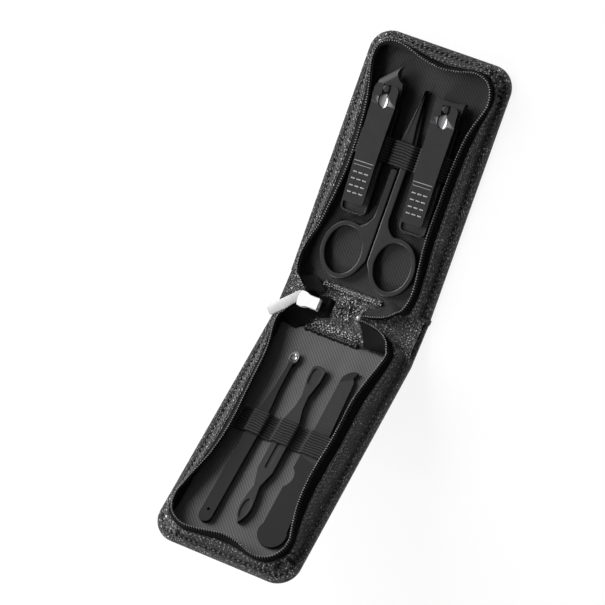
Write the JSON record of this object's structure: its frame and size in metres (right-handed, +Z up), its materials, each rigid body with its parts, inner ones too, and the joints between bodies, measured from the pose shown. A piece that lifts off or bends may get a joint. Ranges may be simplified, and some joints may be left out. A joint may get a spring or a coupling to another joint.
{
  "type": "manicure set case",
  "caption": "Soft zipped manicure case lying open in two trays, with nail clippers, scissors, ear pick, cuticle pusher and nail file held under elastic bands.",
  "frame": {"origin": "centre of the flat underside of the upper half, which lies on the surface", "axes": "+X to the right and +Y along the case towards the far end of the upper half, +Z up; the spine and the lower half run towards -Y"},
  "size_m": [0.0673, 0.2295, 0.064],
  "materials": {
    "cover_leather": "matt, fine grain",
    "gusset_leather": "matt, fine grain",
    "board": "plain stiffener",
    "upper_lining": "twill",
    "lower_lining": "twill",
    "zip_tape": "woven",
    "zip_coil": "nylon",
    "elastic": "ribbed",
    "nickel": "polished",
    "black_tool": "satin black"
  },
  "bodies": {
    "upper_half": {"upper_cover_panel": "cover_leather", "upper_board": "board", "upper_lining": "upper_lining", "upper_lining_hem": "gusset_leather", "upper_gusset": "gusset_leather", "upper_zip_tape": "zip_tape", "upper_zip_coil": "zip_coil", "upper_elastic_band": "elastic", "upper_corner_by_stop": "gusset_leather", "upper_corner_by_slider": "gusset_leather", "upper_coil_end_by_stop": "zip_coil", "upper_coil_end_by_slider": "zip_coil"},
    "spine": {"spine_leather": "cover_leather", "spine_lining": "gusset_leather", "zip_stop": "zip_coil", "zip_slider_body": "nickel"},
    "pull_tab": {"zip_pull_tab": "nickel"},
    "lower_half": {"lower_cover_panel": "cover_leather", "lower_board": "board", "lower_lining": "lower_lining", "lower_lining_hem": "gusset_leather", "lower_gusset": "gusset_leather", "lower_zip_tape": "zip_tape", "lower_zip_coil": "zip_coil", "lower_elastic_band": "elastic", "lower_corner_by_stop": "gusset_leather", "lower_corner_by_slider": "gusset_leather", "lower_coil_end_by_stop": "zip_coil", "lower_coil_end_by_slider": "zip_coil"},
    "square_clipper": {"square_clipper_lower_jaw": "black_tool", "square_clipper_catcher": "black_tool", "square_clipper_rear_rivet": "black_tool"},
    "square_clipper_top": {"square_clipper_upper_jaw": "black_tool"},
    "square_clipper_swivel": {"square_clipper_post": "black_tool"},
    "square_clipper_handle": {"square_clipper_lever": "black_tool"},
    "side_clipper": {"side_clipper_lower_jaw": "black_tool", "side_clipper_catcher": "black_tool", "side_clipper_rear_rivet": "black_tool"},
    "side_clipper_top": {"side_clipper_upper_jaw": "black_tool"},
    "side_clipper_swivel": {"side_clipper_post": "black_tool"},
    "side_clipper_handle": {"side_clipper_lever": "black_tool"},
    "scissor_pivot": {"scissor_screw": "black_tool"},
    "scissor_right": {"scissor_right_blade": "black_tool"},
    "scissor_left": {"scissor_left_blade": "black_tool"},
    "ear_pick": {"ear_pick": "black_tool"},
    "cuticle_pusher": {"cuticle_pusher": "black_tool"},
    "nail_file": {"nail_file": "black_tool"}
  },
  "joints": [
    {"name": "upper_fold", "type": "hinge", "parent": "upper_half", "child": "spine", "pos_m": [0, -0.056, 0.0006], "axis": [-1, 0, 0], "range_deg": [-10, 80], "deforming": ["upper_corner_by_stop", "upper_corner_by_slider", "upper_coil_end_by_stop", "upper_coil_end_by_slider"]},
    {"name": "lower_fold", "type": "hinge", "parent": "spine", "child": "lower_half", "pos_m": [0, -0.0752, 0.00399], "axis": [-1, 0, 0], "range_deg": [-19, 71], "deforming": ["lower_corner_by_stop", "lower_corner_by_slider", "lower_coil_end_by_stop", "lower_coil_end_by_slider"]},
    {"name": "pull_tab_swing", "type": "hinge", "parent": "spine", "child": "pull_tab", "pos_m": [-0.0223, -0.06465, 0.00568], "axis": [0, 0.1736, 0.9848], "range_deg": [-60, 0]},
    {"name": "square_clipper_slide", "type": "slide", "parent": "upper_half", "child": "square_clipper", "axis": [0.0366, -0.9993, 0], "range_m": [-0.008, 0]},
    {"name": "square_clipper_jaw_close", "type": "hinge", "parent": "square_clipper", "child": "square_clipper_top", "pos_m": [0.01403, -0.01171, 0.0054], "axis": [0.9993, 0.0366, 0], "range_deg": [-1.5, 0], "stiffness_Nm_per_rad": 1, "springref_deg": 0.57},
    {"name": "square_clipper_lever_swing", "type": "hinge", "parent": "square_clipper", "child": "square_clipper_swivel", "pos_m": [0.01244, 0.03166, 0.0091], "axis": [0, 0, -1], "range_deg": [-180, 0]},
    {"name": "square_clipper_lever_lift", "type": "hinge", "parent": "square_clipper_swivel", "child": "square_clipper_handle", "pos_m": [0.01244, 0.03166, 0.0124], "axis": [0.9993, 0.0366, 0], "range_deg": [-90, 0]},
    {"name": "side_clipper_slide", "type": "slide", "parent": "upper_half", "child": "side_clipper", "axis": [0.0349, -0.9994, 0], "range_m": [-0.0035, 0]},
    {"name": "side_clipper_jaw_close", "type": "hinge", "parent": "side_clipper", "child": "side_clipper_top", "pos_m": [-0.01385, -0.01171, 0.0054], "axis": [0.9994, 0.0349, 0], "range_deg": [-1.3, 0], "stiffness_Nm_per_rad": 1, "springref_deg": 0.57},
    {"name": "side_clipper_lever_swing", "type": "hinge", "parent": "side_clipper", "child": "side_clipper_swivel", "pos_m": [-0.01536, 0.03167, 0.0091], "axis": [0, 0, 1], "range_deg": [-180, 0]},
    {"name": "side_clipper_lever_lift", "type": "hinge", "parent": "side_clipper_swivel", "child": "side_clipper_handle", "pos_m": [-0.01536, 0.03167, 0.0124], "axis": [0.9994, 0.0349, 0], "range_deg": [-90, 0]},
    {"name": "scissors_slide", "type": "slide", "parent": "upper_half", "child": "scissor_pivot", "axis": [0, -1, 0], "range_m": [-0.0025, 0]},
    {"name": "scissors_open_right", "type": "hinge", "parent": "scissor_pivot", "child": "scissor_right", "pos_m": [-0.0005, 0.009, 0.0041], "axis": [0, 0, 1], "range_deg": [-2.5, 0]},
    {"name": "scissors_open_left", "type": "hinge", "parent": "scissor_pivot", "child": "scissor_left", "pos_m": [-0.0005, 0.009, 0.0041], "axis": [0, 0, 1], "range_deg": [0, 2.5]},
    {"name": "ear_pick_slide", "type": "slide", "parent": "lower_half", "child": "ear_pick", "axis": [0, -0.8746, 0.4848], "range_m": [-0.008, 0]},
    {"name": "cuticle_pusher_slide", "type": "slide", "parent": "lower_half", "child": "cuticle_pusher", "axis": [0.0175, -0.8745, 0.4847], "range_m": [-0.008, 0]},
    {"name": "nail_file_slide", "type": "slide", "parent": "lower_half", "child": "nail_file", "axis": [0, -0.8746, 0.4848], "range_m": [-0.008, 0]}
  ],
  "couplings": [
    {"joint": "scissors_open_left", "follows": "scissors_open_right", "ratio": -1}
  ]
}
